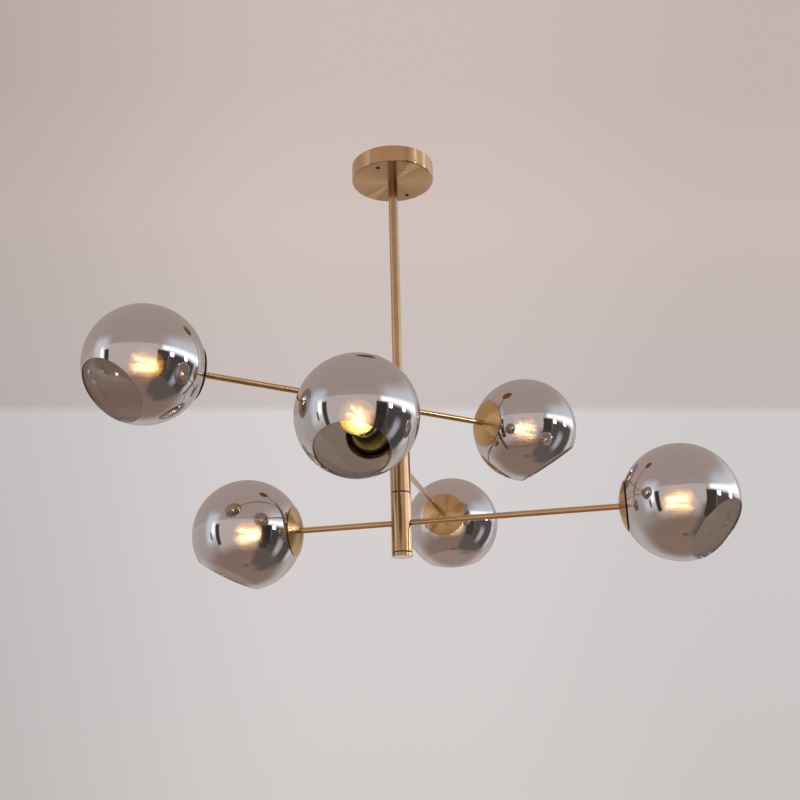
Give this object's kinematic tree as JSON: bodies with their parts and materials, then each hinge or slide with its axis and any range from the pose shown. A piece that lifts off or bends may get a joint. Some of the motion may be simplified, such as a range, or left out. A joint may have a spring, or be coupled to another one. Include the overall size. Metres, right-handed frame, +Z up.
{
  "type": "branch chandelier",
  "caption": "Semi-flush branch chandelier: a stem hub of stacked turning tiers, each with a long and a short arm that end in smoked glass globe shades with lit filament bulbs.",
  "frame": {"origin": "middle of the ceiling plane on the bracket's screw pattern, in line with the stem; the light hangs below it", "axes": "+Z up into the ceiling along the stem, +Y away from the picture's viewer, +X to the viewer's right"},
  "size_m": [0.8146, 0.7146, 0.6179],
  "materials": {
    "satin_brass": "satin, brushed round or along the piece",
    "polished_brass": "polished",
    "ring_brass": "dark gold, semi-polished",
    "screw_dark": "dark bronze",
    "bracket_steel": "zinc plated",
    "spine_steel": "zinc plated",
    "grub_steel": "black oxide",
    "bush_black": "matt moulded acetal",
    "holder_black": "satin moulded phenolic",
    "gasket_rubber": "matt",
    "smoke_glass": "smoke grey with a half-mirror coat",
    "bulb_clear": "clear, lit warm",
    "bulb_cap_metal": "nickel plated"
  },
  "bodies": {
    "root": {"ceiling_bracket": "bracket_steel", "canopy": "satin_brass", "canopy_screws": "screw_dark", "stem": "satin_brass", "spine": "spine_steel", "spine_nut": "spine_steel", "hub_top_cap": "satin_brass", "hub_bottom_cap": "satin_brass", "pivot_bushes": "bush_black"},
    "branch_upper": {"hub_upper": "satin_brass", "grub_screw_upper": "grub_steel", "gaskets_upper": "gasket_rubber", "arm_upper_long": "satin_brass", "dish_upper_long": "polished_brass", "lampholder_upper_long": "holder_black", "shade_ring_upper_long": "ring_brass", "bulb_cap_upper_long": "bulb_cap_metal", "bulb_glass_upper_long": "bulb_clear", "arm_upper_short": "satin_brass", "dish_upper_short": "polished_brass", "lampholder_upper_short": "holder_black", "shade_ring_upper_short": "ring_brass", "bulb_cap_upper_short": "bulb_cap_metal", "bulb_glass_upper_short": "bulb_clear"},
    "shade_upper_long": {"shade_upper_long": "smoke_glass"},
    "shade_upper_short": {"shade_upper_short": "smoke_glass"},
    "branch_middle": {"hub_middle": "satin_brass", "grub_screw_middle": "grub_steel", "gaskets_middle": "gasket_rubber", "arm_middle_long": "satin_brass", "dish_middle_long": "polished_brass", "lampholder_middle_long": "holder_black", "shade_ring_middle_long": "ring_brass", "bulb_cap_middle_long": "bulb_cap_metal", "bulb_glass_middle_long": "bulb_clear", "arm_middle_short": "satin_brass", "dish_middle_short": "polished_brass", "lampholder_middle_short": "holder_black", "shade_ring_middle_short": "ring_brass", "bulb_cap_middle_short": "bulb_cap_metal", "bulb_glass_middle_short": "bulb_clear"},
    "shade_middle_long": {"shade_middle_long": "smoke_glass"},
    "shade_middle_short": {"shade_middle_short": "smoke_glass"},
    "branch_lower": {"hub_lower": "satin_brass", "grub_screw_lower": "grub_steel", "gaskets_lower": "gasket_rubber", "arm_lower_long": "satin_brass", "dish_lower_long": "polished_brass", "lampholder_lower_long": "holder_black", "shade_ring_lower_long": "ring_brass", "bulb_cap_lower_long": "bulb_cap_metal", "bulb_glass_lower_long": "bulb_clear", "arm_lower_short": "satin_brass", "dish_lower_short": "polished_brass", "lampholder_lower_short": "holder_black", "shade_ring_lower_short": "ring_brass", "bulb_cap_lower_short": "bulb_cap_metal", "bulb_glass_lower_short": "bulb_clear"},
    "shade_lower_long": {"shade_lower_long": "smoke_glass"},
    "shade_lower_short": {"shade_lower_short": "smoke_glass"}
  },
  "joints": [
    {"name": "upper_turn", "type": "hinge", "parent": "root", "child": "branch_upper", "pos_m": [0, 0, -0.3809], "axis": [0, 0, 1], "range_deg": [-70, 70]},
    {"name": "middle_turn", "type": "hinge", "parent": "root", "child": "branch_middle", "pos_m": [0, 0, -0.4619], "axis": [0, 0, 1], "range_deg": [-25, 25]},
    {"name": "lower_turn", "type": "hinge", "parent": "root", "child": "branch_lower", "pos_m": [0, 0, -0.5429], "axis": [0, 0, 1], "range_deg": [-25, 25]},
    {"name": "shade_upper_long_turn", "type": "hinge", "parent": "branch_upper", "child": "shade_upper_long", "pos_m": [-0.30918, -0.19021, -0.3809], "axis": [-0.8517, -0.524, 0], "continuous": true},
    {"name": "shade_upper_short_turn", "type": "hinge", "parent": "branch_upper", "child": "shade_upper_short", "pos_m": [0.18397, 0.11318, -0.3809], "axis": [0.8517, 0.524, 0], "continuous": true},
    {"name": "shade_middle_long_turn", "type": "hinge", "parent": "branch_middle", "child": "shade_middle_long", "pos_m": [0.08042, 0.35398, -0.4619], "axis": [0.2215, 0.9751, 0], "continuous": true},
    {"name": "shade_middle_short_turn", "type": "hinge", "parent": "branch_middle", "child": "shade_middle_short", "pos_m": [-0.04785, -0.21063, -0.4619], "axis": [-0.2215, -0.9751, 0], "continuous": true},
    {"name": "shade_lower_long_turn", "type": "hinge", "parent": "branch_lower", "child": "shade_lower_long", "pos_m": [0.35546, -0.07361, -0.5429], "axis": [0.9792, -0.2028, 0], "continuous": true},
    {"name": "shade_lower_short_turn", "type": "hinge", "parent": "branch_lower", "child": "shade_lower_short", "pos_m": [-0.21151, 0.0438, -0.5429], "axis": [-0.9792, 0.2028, 0], "continuous": true}
  ]
}
